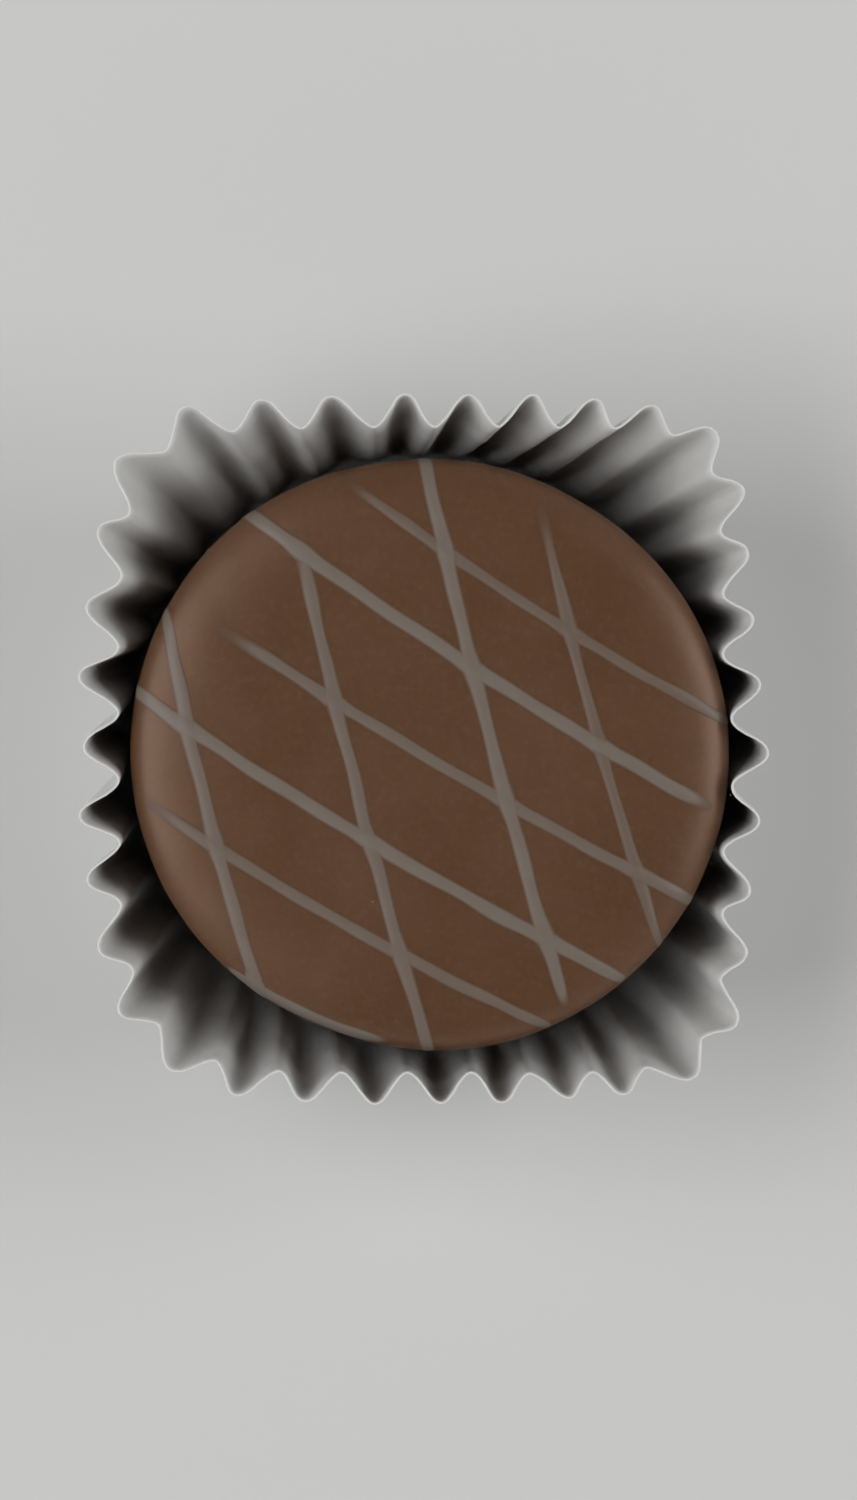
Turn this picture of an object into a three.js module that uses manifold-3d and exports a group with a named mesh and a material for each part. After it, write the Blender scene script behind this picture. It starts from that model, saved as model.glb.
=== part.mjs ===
// A round chocolate truffle in its fluted paper case.
//
// The truffle is a flat-topped disc of milk chocolate. Its top is slightly crowned, its shoulder
// turns over softly, and two sets of thin drizzled stripes cross on it in a lattice and hang a
// little way down its side. The case is one sheet of thin paper: a flat round bottom and a
// pleated wall that flares from a circle at the bottom to a rounded square at the rim.
//
// Units are millimetres, +Z is up, and the origin is the middle of the case's flat underside.

import * as THREE from 'three';
import { mergeVertices } from 'three/addons/utils/BufferGeometryUtils.js';
import Module from 'manifold-3d';

const wasm = await Module();
wasm.setup();

const DEGREE = Math.PI / 180;
const TURN = 2 * Math.PI;

// ---------------------------------------------------------------- driving dimensions, mm

// The chocolate body.
const bodyRadius = 14.95;
const bodyHeight = 14.2;
const widestHeight = 12.1; // the shoulder starts to turn in here
const crownFlatness = 8; // the higher, the flatter the top and the tighter the shoulder
const shoulderFullness = 3; // 2 turns over like a circle, more is fuller
const footInset = 0.25; // how much narrower the side is just above the foot
const footRounding = 0.9;
const bodySegments = 64;
const shoulderSteps = 8;

// How far the body is out of round, and the side that was pressed flat in handling.
const offCentre = 0.13;
const offCentreDirection = -46 * DEGREE;
const ovalness = 0.09;
const ovalDirection = -22 * DEGREE;
const lobing = 0.06;
const lobeDirection = 19 * DEGREE;
const flatDirection = 245 * DEGREE;
const flatSpread = 24 * DEGREE;
const flatDepth = 0.3;

// The drizzled stripes, seen from above. The heading is the way the nozzle moved, the offset is
// how far the stripe passes from the middle, and shortStart and shortEnd are how far inside the
// edge of the body the stripe begins and runs out. Below zero, it hangs down the side instead.
const shallowStripes = [
  { heading: -32.5, offset: 9.1, width: 0.63, shortStart: 0.8, shortEnd: -0.6 },
  { heading: -32.5, offset: 5.0, width: 0.82, shortStart: -1.1, shortEnd: 0.6 },
  { heading: -30.5, offset: 0.0, width: 0.7, shortStart: 2.6, shortEnd: -1.2 },
  { heading: -30.5, offset: -5.1, width: 0.8, shortStart: -1.3, shortEnd: -0.2 },
  { heading: -29.5, offset: -9.3, width: 0.68, shortStart: 0.6, shortEnd: -0.4 },
  { heading: -25.5, offset: -14.2, width: 0.9, shortStart: 0.0, shortEnd: 0.0 },
];
const steepStripes = [
  { heading: -76, offset: -11.3, width: 0.75, shortStart: -0.9, shortEnd: 0.0 },
  { heading: -76, offset: -3.8, width: 0.72, shortStart: 2.0, shortEnd: -1.2 },
  { heading: -75.5, offset: 3.3, width: 0.79, shortStart: -1.2, shortEnd: 0.4 },
  { heading: -75, offset: 8.5, width: 0.62, shortStart: 1.6, shortEnd: -0.8 },
];
const shallowStripeHeight = 0.1;
const steepStripeHeight = 0.13; // laid second, so it rides over the first set
const shallowStripeBow = 0.5; // how far the middle of a stripe bends to the lower left
const steepStripeBow = 0.35;
const stripeRoot = 0.1; // how deep a stripe is sunk into the body
const stripeTaper = 2.2; // length over which an end thins out
const stripeTipShare = 0.6; // width left at the very tip
const stripeStep = 1.7; // length of one straight facet
const shoulderStep = 0.5; // the same where the stripe bends over the shoulder
const hangShare = 0.55; // height left where a stripe hangs down the side

// The paper case.
const fluteCount = 36;
const caseBaseRadius = 14.85;
const wallLength = 14; // measured up the paper, from the bottom fold to the cut edge
const paperThickness = 0.15;
const rimHalfWidth = 15.15; // to the inner folds, along X
const rimHalfDepth = 16.2; // to the inner folds, along Y
const rimShift = new THREE.Vector2(-0.36, 0.16); // the rim's middle, seen from the bottom's
const rimSquareness = 7; // 2 is an ellipse, more is squarer
const squarenessSpread = 2.7; // how much squarer the rim is in one direction than on average
const squarestDirection = 20 * DEGREE;
const rimFluteWidth = 3.2;
const wallFlare = 1.5; // above 1, the wall starts upright and flares towards the rim
const flareSpread = 0.5; // how much more the wall flares in one direction than on average
const flaringDirection = 110 * DEGREE;
const paperClearance = 0.2; // least distance of the paper's middle from the chocolate's side
const foldHalfWidth = 0.1; // half the rounded part of a fold, as a share of a flute
const foldShoulder = 0.82; // how much of the flute's depth is left at the ends of a fold
const depthKept = 0.875; // the rounding of the folds takes the rest of the flutes' depth
const cornerFlattening = 0.2; // the pleats are pulled wider and shallower at the corners
const wallSlants = [0.5, 1.6, 3.6, 6.4, 10, wallLength]; // rings up the wall

// The flutes are deeper where the case was squeezed: towards one side, and along X.
const deeperAtSide = 0.1;
const deeperSide = 150 * DEGREE;
const deeperAlongX = 0.05;

// Where the pleats lean, they start further round at the bottom than at the rim.
const leans = [
  { angle: 3 * DEGREE, direction: 2 * DEGREE, spread: 32 * DEGREE },
  { angle: 9 * DEGREE, direction: 64 * DEGREE, spread: 24 * DEGREE },
  { angle: -5 * DEGREE, direction: 182 * DEGREE, spread: 34 * DEGREE },
  { angle: -4.5 * DEGREE, direction: 243 * DEGREE, spread: 26 * DEGREE },
];

// The pleats are bunched along the rim in waves: how many waves go round it, by how many flutes
// they push the pleats forward, and where they push most. All are turned back by a little.
const bunchings = [
  { waves: 1, flutes: 0.23, direction: -101 * DEGREE },
  { waves: 2, flutes: 0.13, direction: 31 * DEGREE },
  { waves: 3, flutes: 0.1, direction: 105 * DEGREE },
];
const turnedBack = 0.09; // in flutes

// Hand-made unevenness of the pleats.
const pleatSeed = 11;
const pleatShift = 0.05; // most that a pleat is out of place, as a share of a flute
const pleatDepthSpread = 0.08; // most that a pleat is too deep or too shallow
const rimHeightSpread = 0.14;

// The body rests on the paper with a hair's gap under it.
const restingGap = 0.1;

// ---------------------------------------------------------------- helpers

// A repeatable random number from 0 to 1 (the mulberry32 generator).
function seededRandom(seed) {
  let state = seed >>> 0;
  return () => {
    state = (state + 0x6d2b79f5) >>> 0;
    let mixed = Math.imul(state ^ (state >>> 15), state | 1);
    mixed ^= mixed + Math.imul(mixed ^ (mixed >>> 7), mixed | 61);
    return ((mixed ^ (mixed >>> 14)) >>> 0) / 2 ** 32;
  };
}

// A bell-shaped bump round one direction: 1 in the middle, fading to 0 past the spread.
function bump(angle, middle, spread) {
  const apart = Math.atan2(Math.sin(angle - middle), Math.cos(angle - middle)) / spread;
  return Math.exp(-apart * apart);
}

// Joins rings of points, each with the same number of points, into one closed skin. The rings
// run counter-clockwise about the way they are stacked, and a fan of faces shuts either end.
function skinOverRings(rings) {
  const ringSize = rings[0].length;
  const positions = rings.flat().flatMap((point) => point.toArray());
  const indices = [];
  for (let level = 0; level < rings.length - 1; level += 1) {
    for (let step = 0; step < ringSize; step += 1) {
      const here = level * ringSize + step;
      const beside = level * ringSize + ((step + 1) % ringSize);
      const above = here + ringSize;
      const aboveBeside = beside + ringSize;
      indices.push(here, beside, aboveBeside, here, aboveBeside, above);
    }
  }
  for (const end of [0, rings.length - 1]) {
    const middle = new THREE.Vector3();
    rings[end].forEach((point) => middle.addScaledVector(point, 1 / ringSize));
    const hub = positions.length / 3;
    positions.push(...middle.toArray());
    for (let step = 0; step < ringSize; step += 1) {
      const here = end * ringSize + step;
      const beside = end * ringSize + ((step + 1) % ringSize);
      indices.push(hub, ...(end === 0 ? [beside, here] : [here, beside]));
    }
  }
  const geometry = new THREE.BufferGeometry();
  geometry.setAttribute('position', new THREE.Float32BufferAttribute(positions, 3));
  geometry.setIndex(indices);
  return geometry;
}

// Turns a closed geometry into a solid that can be joined to others.
function toSolid(geometry) {
  const bare = geometry.clone();
  bare.deleteAttribute('normal');
  bare.deleteAttribute('uv');
  const merged = mergeVertices(bare, 1e-4);
  return new wasm.Manifold(new wasm.Mesh({
    numProp: 3,
    vertProperties: new Float32Array(merged.attributes.position.array),
    triVerts: new Uint32Array(merged.index.array),
  }));
}

function toGeometry(solid) {
  const mesh = solid.getMesh();
  const geometry = new THREE.BufferGeometry();
  geometry.setAttribute('position', new THREE.BufferAttribute(mesh.vertProperties, 3));
  geometry.setIndex(new THREE.BufferAttribute(mesh.triVerts, 1));
  return geometry;
}

// ---------------------------------------------------------------- the chocolate body

// Radius of the body at its widest, in one direction.
function bodyOutline(angle) {
  const aside = offCentre * Math.cos(angle - offCentreDirection);
  const oval = ovalness * Math.cos(2 * (angle - ovalDirection));
  const lobes = lobing * Math.cos(3 * (angle - lobeDirection));
  return bodyRadius + aside + oval + lobes - flatDepth * bump(angle, flatDirection, flatSpread);
}

// Height of the upper surface at a share of the widest radius: 0 in the middle, 1 at the edge.
function crownHeight(share) {
  const rise = bodyHeight - widestHeight;
  return widestHeight + rise * (1 - share ** crownFlatness) ** (1 / shoulderFullness);
}

// The body is turned from half its section and then pressed out of round.
function bodyGeometry() {
  const profile = [
    new THREE.Vector2(0, 0),
    new THREE.Vector2(bodyRadius - footInset - footRounding, 0),
    new THREE.Vector2(bodyRadius - footInset - 0.3 * footRounding, 0.3 * footRounding),
    new THREE.Vector2(bodyRadius - footInset, footRounding),
  ];
  for (let step = 0; step < shoulderSteps; step += 1) {
    const share = Math.cos((step / shoulderSteps) * 90 * DEGREE) ** (2 / crownFlatness);
    profile.push(new THREE.Vector2(share * bodyRadius, crownHeight(share)));
  }
  profile.push(new THREE.Vector2(0, bodyHeight));
  const geometry = new THREE.LatheGeometry(profile, bodySegments);
  geometry.rotateX(90 * DEGREE);
  const position = geometry.attributes.position;
  for (let index = 0; index < position.count; index += 1) {
    const angle = Math.atan2(position.getY(index), position.getX(index));
    const press = bodyOutline(angle) / bodyRadius;
    position.setX(index, position.getX(index) * press);
    position.setY(index, position.getY(index) * press);
  }
  return geometry;
}

// ---------------------------------------------------------------- the drizzled stripes

// The point of the body under a point of the plan. Past the body's edge, the distance that is
// left over is measured down the side instead, as a thread of chocolate hangs.
function pointOnBody(x, y) {
  const angle = Math.atan2(y, x);
  const edge = bodyOutline(angle);
  const distance = Math.hypot(x, y);
  const share = Math.min(distance / edge, 1);
  const hanging = Math.max(distance - edge, 0);
  return new THREE.Vector3(
    share * edge * Math.cos(angle),
    share * edge * Math.sin(angle),
    crownHeight(share) - hanging,
  );
}

// The way out of the body at that point, from how the surface changes close by.
function wayOutOfBody(x, y) {
  const nudge = 0.02;
  const outward = new THREE.Vector3(x, y, 0).normalize();
  const inner = pointOnBody(x - nudge * outward.x, y - nudge * outward.y);
  const outer = pointOnBody(x + nudge * outward.x, y + nudge * outward.y);
  const downhill = outer.sub(inner).normalize();
  const across = new THREE.Vector3(-outward.y, outward.x, 0);
  return downhill.cross(across).normalize();
}

// The stripe's path over the body, as points a step apart, each with the way out of the surface.
function stripePath(stripe, bend) {
  const heading = stripe.heading * DEGREE;
  const along = new THREE.Vector2(Math.cos(heading), Math.sin(heading));
  const aside = new THREE.Vector2(-along.y, along.x);
  const halfChord = Math.sqrt(bodyRadius ** 2 - stripe.offset ** 2);
  const start = -halfChord + stripe.shortStart;
  const end = halfChord - stripe.shortEnd;
  const samples = 400;
  const levelEnough = 0.97;
  const plan = Array.from({ length: samples + 1 }, (_, index) => {
    const run = start + ((end - start) * index) / samples;
    const bow = bend * (1 / 3 - (run / halfChord) ** 2);
    return along.clone().multiplyScalar(run).addScaledVector(aside, stripe.offset - bow);
  });
  const path = [];
  let sinceLast = Infinity;
  plan.forEach((spot, index) => {
    const point = pointOnBody(spot.x, spot.y);
    if (index > 0) {
      const before = plan[index - 1];
      sinceLast += point.distanceTo(pointOnBody(before.x, before.y));
    }
    const out = wayOutOfBody(spot.x, spot.y);
    const step = out.z > levelEnough ? stripeStep : shoulderStep;
    if (sinceLast >= step || index === samples) {
      path.push({ point, out });
      sinceLast = 0;
    }
  });
  return path;
}

// One stripe: a low rounded ridge, rooted in the body, that thins out towards its ends.
function stripeGeometry(stripe, height, bend) {
  const path = stripePath(stripe, bend);
  const runs = [0];
  for (let index = 1; index < path.length; index += 1) {
    runs.push(runs[index - 1] + path[index].point.distanceTo(path[index - 1].point));
  }
  const length = runs.at(-1);
  const rings = path.map(({ point, out }, index) => {
    const before = path[Math.max(index - 1, 0)].point;
    const after = path[Math.min(index + 1, path.length - 1)].point;
    const forward = after.clone().sub(before).normalize();
    const across = out.clone().cross(forward).normalize();
    const fromTip = Math.min(runs[index], length - runs[index], stripeTaper) / stripeTaper;
    const fullness = stripeTipShare + (1 - stripeTipShare) * Math.sin(fromTip * 90 * DEGREE);
    const lying = hangShare + (1 - hangShare) * Math.max(out.z, 0);
    const half = 0.5 * stripe.width * fullness;
    const top = height * fullness * lying;
    const section = [
      [-half, -stripeRoot],
      [half, -stripeRoot],
      [0.6 * half, 0.75 * top],
      [0, top],
      [-0.6 * half, 0.75 * top],
    ];
    return section.map(([sideways, up]) => (
      point.clone().addScaledVector(across, sideways).addScaledVector(out, up)
    ));
  });
  return skinOverRings(rings);
}

function truffleGeometry() {
  let solid = toSolid(bodyGeometry());
  for (const stripe of shallowStripes) {
    const ridge = stripeGeometry(stripe, shallowStripeHeight, shallowStripeBow);
    solid = solid.add(toSolid(ridge));
  }
  for (const stripe of steepStripes) {
    const ridge = stripeGeometry(stripe, steepStripeHeight, steepStripeBow);
    solid = solid.add(toSolid(ridge));
  }
  return toGeometry(solid);
}

// ---------------------------------------------------------------- the paper case

// Distance from the middle of the rim to its inner folds, in one direction: a rounded square.
function rimReach(angle) {
  const squareness = rimSquareness + squarenessSpread * Math.cos(angle - squarestDirection);
  const wide = Math.abs(Math.cos(angle) / rimHalfWidth) ** squareness;
  const deep = Math.abs(Math.sin(angle) / rimHalfDepth) ** squareness;
  return (wide + deep) ** (-1 / squareness);
}

function rimPoint(angle) {
  return new THREE.Vector2(Math.cos(angle), Math.sin(angle)).multiplyScalar(rimReach(angle));
}

// The case is a little narrow for the chocolate, which holds the paper away from its own side. A
// point of the wall's plan is moved straight outwards until it is clear at its height.
function keptClear(spot, height) {
  const risen = (height - paperThickness - restingGap) / widestHeight;
  const inset = footInset * THREE.MathUtils.clamp(1 - risen, 0, 1);
  const least = bodyOutline(Math.atan2(spot.y, spot.x)) - inset + paperClearance;
  return spot.setLength(Math.max(spot.length(), least));
}

// The way a flute stands out of the rim: halfway between straight away from the middle and
// square to the rim.
function standingOut(angle) {
  const nudge = 0.5 * DEGREE;
  const onward = rimPoint(angle + nudge).sub(rimPoint(angle - nudge)).normalize();
  const radial = new THREE.Vector2(Math.cos(angle), Math.sin(angle));
  return radial.add(new THREE.Vector2(onward.y, -onward.x)).normalize();
}

// Directions that part the rim into equal lengths, so that every flute gets as much of it.
function rimDirections(shares) {
  const samples = 1440;
  const lengths = [0];
  for (let index = 1; index <= samples; index += 1) {
    const before = ((index - 1) / samples) * TURN;
    const now = (index / samples) * TURN;
    const turned = rimReach(now) * (now - before);
    lengths.push(lengths[index - 1] + Math.hypot(turned, rimReach(now) - rimReach(before)));
  }
  return shares.map((share) => {
    const whole = Math.floor(share);
    const wanted = (share - whole) * lengths[samples];
    const above = Math.max(lengths.findIndex((length) => length >= wanted), 1);
    const part = (wanted - lengths[above - 1]) / (lengths[above] - lengths[above - 1]);
    return (whole + (above - 1 + part) / samples) * TURN;
  });
}

// The fold lines and flanks of one flute: where each point stands across the flute (0 is its
// outer fold) and how far out it stands (1 is the outer fold, -1 the inner one).
const foldPoints = [
  { across: -foldHalfWidth, out: foldShoulder },
  { across: 0, out: 1 },
  { across: foldHalfWidth, out: foldShoulder },
  { across: 0.5 - foldHalfWidth, out: -foldShoulder },
  { across: 0.5, out: -1 },
  { across: 0.5 + foldHalfWidth, out: -foldShoulder },
];

// Every point round the wall, with the unevenness of its own flute.
function pleatPoints() {
  const random = seededRandom(pleatSeed);
  const either = (most) => most * (2 * random() - 1);
  const points = [];
  for (let flute = 0; flute < fluteCount; flute += 1) {
    const shift = either(pleatShift);
    const depth = 1 + either(pleatDepthSpread);
    const lift = either(rimHeightSpread);
    for (const fold of foldPoints) {
      points.push({ place: flute + fold.across + shift, out: fold.out, depth, lift });
    }
  }
  const directions = rimDirections(points.map((point) => {
    const round = (point.place / fluteCount) * TURN;
    const pushed = bunchings.reduce((sum, bunching) => (
      sum + bunching.flutes * Math.cos(bunching.waves * round - bunching.direction)
    ), 0);
    return (point.place + pushed - turnedBack) / fluteCount;
  }));
  return points.map((point, index) => ({ ...point, direction: directions[index] }));
}

// How deep the flutes are at one distance up the paper. Flat, the paper is wider there than the
// wall is round, and the spare width goes into the flanks of the flutes.
function fluteDepth(slant) {
  const flatWidth = (TURN * (caseBaseRadius + slant)) / fluteCount;
  const baseWidth = (TURN * caseBaseRadius) / fluteCount;
  const wallWidth = baseWidth + (rimFluteWidth - baseWidth) * (slant / wallLength);
  return (depthKept * Math.sqrt(Math.max(flatWidth ** 2 - wallWidth ** 2, 0))) / 2;
}

// One ring of the wall's middle surface, at one distance up the paper.
function wallRing(pleats, slant) {
  const rising = slant / wallLength;
  const depth = fluteDepth(slant);
  return pleats.map((pleat) => {
    const baseAngle = leans.reduce((angle, lean) => (
      angle + lean.angle * bump(pleat.direction, lean.direction, lean.spread)
    ), pleat.direction);
    const base = new THREE.Vector2(Math.cos(baseAngle), Math.sin(baseAngle));
    base.multiplyScalar(caseBaseRadius);
    const rim = rimPoint(pleat.direction).add(rimShift);
    const travel = Math.min(rim.distanceTo(base) / wallLength, 0.9);
    const flare = wallFlare + flareSpread * Math.cos(pleat.direction - flaringDirection);
    const spot = keptClear(base.clone().lerp(rim, rising ** flare), slant);
    const corner = Math.sin(2 * pleat.direction) ** 2 * rising;
    const side = deeperAtSide * Math.cos(pleat.direction - deeperSide);
    const squeezed = 1 + side + deeperAlongX * Math.cos(2 * pleat.direction);
    const local = depth * pleat.depth * squeezed * (1 - cornerFlattening * corner);
    spot.addScaledVector(standingOut(pleat.direction), local * 0.5 * (1 + pleat.out));
    const height = slant * Math.sqrt(1 - travel ** 2) + pleat.lift * rising;
    return new THREE.Vector3(spot.x, spot.y, height);
  });
}

// Moves every point of a ring sideways by one distance, square to the paper's two flanks there.
function offsetRing(ring, distance) {
  return ring.map((point, index) => {
    const before = ring.at(index - 1);
    const after = ring[(index + 1) % ring.length];
    const arriving = new THREE.Vector2(point.x - before.x, point.y - before.y).normalize();
    const leaving = new THREE.Vector2(after.x - point.x, after.y - point.y).normalize();
    const halfway = arriving.clone().add(leaving).normalize();
    const mitre = distance / Math.max(halfway.dot(leaving), 0.5);
    return new THREE.Vector3(point.x + mitre * halfway.y, point.y - mitre * halfway.x, point.z);
  });
}

// The case's skin runs out over the underside, up the outer wall, over the cut edge, down the
// inner wall and in over the bottom.
function caseGeometry() {
  const pleats = pleatPoints();
  const foldRing = wallRing(pleats, 0);
  const wallRings = wallSlants.map((slant) => wallRing(pleats, slant));
  const half = paperThickness / 2;
  const outer = wallRings.map((ring) => offsetRing(ring, half));
  const inner = wallRings.map((ring) => offsetRing(ring, -half)).reverse();
  const underside = offsetRing(foldRing, half);
  const bottom = offsetRing(foldRing, -half);
  underside.forEach((point) => point.setZ(0));
  bottom.forEach((point) => point.setZ(paperThickness));
  return skinOverRings([underside, ...outer, ...inner, bottom]);
}

// ---------------------------------------------------------------- the object

const chocolate = new THREE.MeshStandardMaterial({ color: 0x5a3c2c, roughness: 0.42, metalness: 0 });
const paper = new THREE.MeshStandardMaterial({ color: 0xd9d8d4, roughness: 0.7, metalness: 0 });

const truffle = new THREE.Mesh(truffleGeometry(), chocolate);
truffle.name = 'truffle';
truffle.position.z = paperThickness + restingGap;

const paperCase = new THREE.Mesh(caseGeometry(), paper);
paperCase.name = 'paper_case';

const confection = new THREE.Group();
confection.add(paperCase, truffle);

export default confection;
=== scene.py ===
# %% [markdown]
# # A round chocolate in its paper case
#
# The object is one milk chocolate, about 30 mm across, with ten thin threads of paler chocolate
# drizzled over it. It stands in a pleated paper case. Two plain solids already hold its size and
# place. This notebook lays a fine surface and a finish over each of them.
#
# Everything is in metres, +Z is up, and the origin is the middle of the case's underside.

# %% Load the solids and keep their size
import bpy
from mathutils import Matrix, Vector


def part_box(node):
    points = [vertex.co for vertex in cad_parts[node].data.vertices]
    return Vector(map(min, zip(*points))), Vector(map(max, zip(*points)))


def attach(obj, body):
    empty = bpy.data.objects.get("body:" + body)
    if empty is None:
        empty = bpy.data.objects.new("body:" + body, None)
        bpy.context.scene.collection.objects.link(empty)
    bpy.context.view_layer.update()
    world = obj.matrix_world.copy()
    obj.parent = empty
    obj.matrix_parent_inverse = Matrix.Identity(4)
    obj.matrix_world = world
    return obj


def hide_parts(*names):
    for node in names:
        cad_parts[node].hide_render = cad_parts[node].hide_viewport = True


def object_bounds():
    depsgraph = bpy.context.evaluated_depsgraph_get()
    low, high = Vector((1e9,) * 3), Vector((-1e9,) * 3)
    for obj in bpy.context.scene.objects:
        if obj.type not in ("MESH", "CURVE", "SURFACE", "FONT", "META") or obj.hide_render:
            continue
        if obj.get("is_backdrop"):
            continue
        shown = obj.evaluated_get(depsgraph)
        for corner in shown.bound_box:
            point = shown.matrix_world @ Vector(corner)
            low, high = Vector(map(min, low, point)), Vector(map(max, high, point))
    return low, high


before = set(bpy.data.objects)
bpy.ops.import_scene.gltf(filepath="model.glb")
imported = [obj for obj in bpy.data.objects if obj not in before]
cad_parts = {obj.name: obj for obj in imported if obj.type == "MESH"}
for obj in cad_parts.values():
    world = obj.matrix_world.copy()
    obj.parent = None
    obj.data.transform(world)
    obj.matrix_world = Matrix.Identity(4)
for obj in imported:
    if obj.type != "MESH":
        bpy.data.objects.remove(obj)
solid_low, solid_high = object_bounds()

from types import SimpleNamespace

import bpy
import numpy as np
from mathutils import Matrix, Vector

MM = 0.001
DEGREE = np.pi / 180
TURN = 2 * np.pi
print("solids:", sorted(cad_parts), "box in mm:", [round(x / MM, 1) for x in solid_high])

# %% [markdown]
# ## A way to make closed pieces
#
# Body, threads and paper are all closed shells with a true inside. Each could be modelled by hand,
# but each also follows from a rule, so it is worked out as a grid of points: every row is a ring,
# the rings are joined by quads, and a fan of triangles shuts either end. One function turns such
# grids into a piece, however many shells it has. The ten threads stay ten shells: they run through
# one another where they cross, and their roots are sunk in the body.

# %% Closed shells from grids of points
def shell_faces(rows, columns, first_number):
    """The faces of one shell: quads between neighbouring rings, and a fan at either end whose
    middle point is numbered after the grid's own points."""
    here = first_number + np.arange(rows * columns).reshape(rows, columns)
    beside = np.roll(here, -1, axis=1)
    quads = np.stack([here[:-1], beside[:-1], beside[1:], here[1:]], axis=-1)
    middle = np.full(columns, first_number + rows * columns)
    first_fan = np.stack([beside[0], here[0], middle], axis=-1)
    last_fan = np.stack([here[-1], beside[-1], middle + 1], axis=-1)
    return [*quads.reshape(-1, 4).tolist(), *first_fan.tolist(), *last_fan.tolist()]


def closed_piece(name, shells):
    """A mesh object of closed shells. A shell is (grid, first middle, last middle)."""
    points, faces, count = [], [], 0
    for grid, first_middle, last_middle in shells:
        rows, columns, _ = grid.shape
        faces += shell_faces(rows, columns, count)
        points += [grid.reshape(-1, 3), np.array([first_middle, last_middle])]
        count += rows * columns + 2
    mesh = bpy.data.meshes.new(name)
    mesh.from_pydata(np.concatenate(points).tolist(), [], faces)
    mesh.shade_smooth()
    piece = bpy.data.objects.new(name, mesh)
    bpy.context.scene.collection.objects.link(piece)
    triangles = sum(len(face) - 2 for face in faces)
    print(f"{name}: {len(shells)} shell(s), {count} points, {triangles} triangles")
    return piece


def keep_on_points(piece, name, kind, values):
    """Stores one value for each point of a piece, for its finish to read."""
    layer = piece.data.attributes.new(name, kind, "POINT")
    layer.data.foreach_set("vector" if kind == "FLOAT_VECTOR" else "value", np.ravel(values))


# %% [markdown]
# ## Unevenness
#
# Nothing here is machined: the chocolate was poured and the paper pressed. A noise texture could
# push the points about, but a sum of sine waves is as smooth, needs no modifier and can be asked
# for its value at any point, so that threads and body bend together.

# %% Rolling unevenness
def rolling(points, wavelength, seed, waves=28):
    """A smooth random field, mostly between -1 and 1: the sum of sine waves that run through
    space in random directions, all of about one wavelength. points has shape [..., dimensions]."""
    draw = np.random.default_rng(seed)
    ways = draw.normal(size=(points.shape[-1], waves))
    ways /= np.linalg.norm(ways, axis=0)
    ways *= TURN / (wavelength * draw.uniform(0.7, 1.5, waves))
    return np.sin(points @ ways + draw.uniform(0, TURN, waves)).sum(axis=-1) / np.sqrt(waves)


def smooth_step(value, low, high):
    """0 below low, 1 above high, and an even curve between them."""
    share = np.clip((value - low) / (high - low), 0, 1)
    return share * share * (3 - 2 * share)


def unit(vectors):
    """Vectors of length 1 that point the same way."""
    return vectors / np.maximum(np.linalg.norm(vectors, axis=-1, keepdims=True), 1e-12)


def bump(angle, middle, spread):
    """A bell over directions: 1 at the middle, 0.37 at the spread and 0 well past it."""
    apart = np.arctan2(np.sin(angle - middle), np.cos(angle - middle)) / spread
    return np.exp(-apart**2)


print("unevenness at the origin:", round(float(rolling(np.zeros(3), 9 * MM, 1)), 3))

# %% [markdown]
# ## The chocolate body
#
# The real one is a flat-topped disc: an enrobed filling whose coat has drawn a soft shoulder, a
# nearly upright side and a small rounded foot. A lathe would turn it perfectly round, so the half
# section is carried round and pressed a little oval, with one side flattened.

# %% The body's sizes and its upper surface
body_radius = 14.95 * MM
body_height = 14.2 * MM
widest_height = 12.1 * MM
crown_flatness = 8
shoulder_fullness = 3
foot_inset = 0.25 * MM
foot_rounding = 0.9 * MM
resting_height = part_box("truffle")[0].z
print("crown rises", round((body_height - widest_height) / MM, 2), "mm above the widest ring")


def body_outline(angle):
    """Radius at the widest, in one direction: a circle moved a little aside, made a little oval
    and three-lobed, with one side pressed flatter."""
    aside = 0.13 * MM * np.cos(angle + 46 * DEGREE)
    oval = 0.09 * MM * np.cos(2 * (angle + 22 * DEGREE))
    lobes = 0.06 * MM * np.cos(3 * (angle - 19 * DEGREE))
    pressed = 0.3 * MM * bump(angle, 245 * DEGREE, 24 * DEGREE)
    return body_radius + aside + oval + lobes - pressed


def body_side(angle, height):
    """Radius of the body's side at a height: from the foot up, it leans out a little."""
    left = np.clip(1 - (height - resting_height) / widest_height, 0, 1)
    return body_outline(angle) - foot_inset * left


def crown_height(share):
    """Height of the upper surface at a share of the widest radius: a rise that falls off as the
    share to a high power, so the top is nearly flat and the shoulder turns over quickly."""
    rise = body_height - widest_height
    left = np.clip(1 - share**crown_flatness, 0, 1)
    return resting_height + widest_height + rise * left ** (1 / shoulder_fullness)


def plan_to_body(plan):
    """The body's point under each point of the plan. Past the edge, what is left of the distance
    is measured down the side, as a thread of chocolate hangs."""
    angle = np.arctan2(plan[..., 1], plan[..., 0])
    edge = body_outline(angle)
    distance = np.hypot(plan[..., 0], plan[..., 1])
    share = np.minimum(distance / edge, 1)
    height = crown_height(share) - np.maximum(distance - edge, 0)
    return np.stack([share * edge * np.cos(angle), share * edge * np.sin(angle), height], axis=-1)


def way_out(plan):
    """The way out of the body there: square to the slope between two points close by."""
    outward = unit(plan)
    nudge = 0.02 * MM * outward
    downhill = unit(plan_to_body(plan + nudge) - plan_to_body(plan - nudge))
    across = np.stack([-outward[..., 1], outward[..., 0], 0 * outward[..., 0]], axis=-1)
    return unit(np.cross(downhill, across))


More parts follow.
